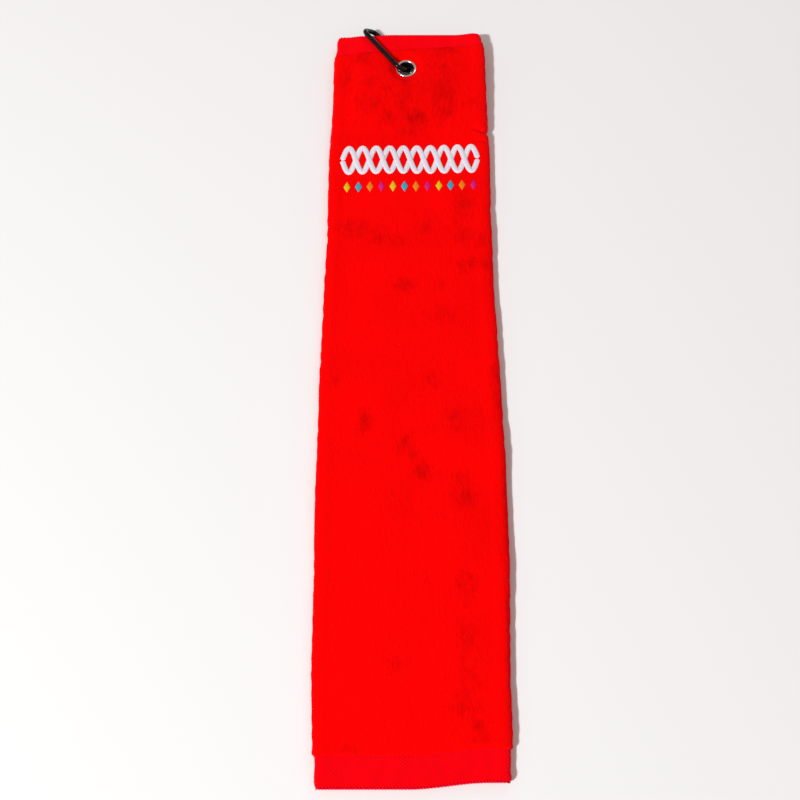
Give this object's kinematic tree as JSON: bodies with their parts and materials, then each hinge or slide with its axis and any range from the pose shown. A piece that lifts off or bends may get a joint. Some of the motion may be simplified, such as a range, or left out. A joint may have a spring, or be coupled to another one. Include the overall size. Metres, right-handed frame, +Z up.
{
  "type": "golf towel",
  "caption": "Tri-fold velour towel lying flat, with a metal grommet near one end and a snap carabiner through it that swings across the end and has a sprung gate.",
  "frame": {"origin": "bottom centre of the whole object's box, on the surface the towel lies on", "axes": "+Z up from the table, +Y along the towel towards the grommet, +X to the right seen from above"},
  "size_m": [0.1376, 0.61, 0.0164],
  "materials": {
    "velour": "matte",
    "hem_thread": "satin",
    "nickel": "polished",
    "black_aluminium": "gloss",
    "spring_steel": "satin",
    "white_stitch": "satin",
    "yellow_stitch": "satin",
    "cyan_stitch": "satin",
    "orange_stitch": "satin",
    "magenta_stitch": "satin"
  },
  "bodies": {
    "towel": {"towel_sheet": "velour", "bottom_hem_thread": "hem_thread", "top_hem_thread": "hem_thread", "side_hem_thread_inner": "hem_thread", "side_hem_thread_outer": "hem_thread", "grommet_eyelet": "nickel", "grommet_washer": "nickel", "embroidered_braid": "white_stitch", "embroidered_diamond_01": "yellow_stitch", "embroidered_diamond_02": "cyan_stitch", "embroidered_diamond_03": "orange_stitch", "embroidered_diamond_04": "magenta_stitch", "embroidered_diamond_05": "yellow_stitch", "embroidered_diamond_06": "cyan_stitch", "embroidered_diamond_07": "orange_stitch", "embroidered_diamond_08": "magenta_stitch", "embroidered_diamond_09": "yellow_stitch", "embroidered_diamond_10": "cyan_stitch", "embroidered_diamond_11": "orange_stitch", "embroidered_diamond_12": "magenta_stitch"},
    "carabiner": {"carabiner_body": "black_aluminium", "gate_pivot_pin": "spring_steel"},
    "gate": {"carabiner_gate": "black_aluminium", "gate_latch_pin": "spring_steel", "spring_plunger": "spring_steel", "gate_spring": "spring_steel"}
  },
  "joints": [
    {"name": "carabiner_swing", "type": "hinge", "parent": "towel", "child": "carabiner", "pos_m": [-0.003, 0.26152, 0.0082], "axis": [0, 0, 1], "range_deg": [-77, 0]},
    {"name": "gate_open", "type": "hinge", "parent": "carabiner", "child": "gate", "pos_m": [-0.02413, 0.29804, 0.002], "axis": [-0.5534, -0.4402, -0.7071], "range_deg": [0, 25], "stiffness_Nm_per_rad": 0.04, "springref_deg": -34.38, "deforming": ["towel_sheet", "top_hem_thread", "gate_spring"]}
  ]
}
